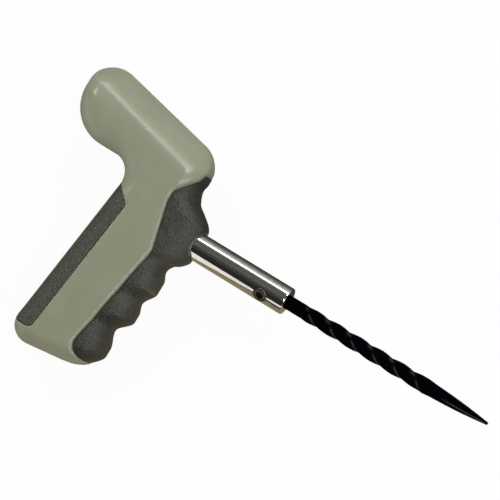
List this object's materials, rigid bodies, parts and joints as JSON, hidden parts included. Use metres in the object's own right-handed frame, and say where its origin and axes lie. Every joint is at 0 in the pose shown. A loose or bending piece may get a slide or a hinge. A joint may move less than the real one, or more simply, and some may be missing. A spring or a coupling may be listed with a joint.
{
  "type": "tire rasp",
  "caption": "Pistol-grip tire rasp: olive two-shell handle with rubber grips, a chromed shank holder with a set screw, and a black spiral rasp with a pointed tip.",
  "frame": {"origin": "on the flat right side of the handle, straight below the shank's axis where the grip's panel crosses it", "axes": "+X along the shank towards the rasp's tip, +Y towards the palm head, +Z out of the left side"},
  "size_m": [0.2304, 0.1256, 0.03],
  "materials": {
    "olive_plastic": "satin moulded grey-olive",
    "dark_rubber": "fine leather grain",
    "chrome": "bright chrome plate",
    "dark_steel": "dark oxide",
    "black_oxide": "black oxide with cut teeth",
    "bare_steel": "plain zinc plate"
  },
  "bodies": {
    "handle": {"left_handle_shell": "olive_plastic", "right_handle_shell": "olive_plastic", "front_finger_grip": "dark_rubber", "back_grip_strip": "dark_rubber", "shank_holder": "chrome", "anchor_pin": "bare_steel", "shell_screw_lobe": "bare_steel", "shell_screw_nose": "bare_steel", "shell_screw_middle": "bare_steel", "shell_screw_bottom": "bare_steel"},
    "rasp": {"rasp": "black_oxide"},
    "set_screw": {"set_screw": "dark_steel"}
  },
  "joints": [
    {"name": "rasp_slide", "type": "slide", "parent": "handle", "child": "rasp", "axis": [1, 0, 0], "range_m": [0, 0.024]},
    {"name": "set_screw_travel", "type": "slide", "parent": "handle", "child": "set_screw", "axis": [0, -0.5976, 0.8018], "range_m": [0, 0.0035]}
  ]
}
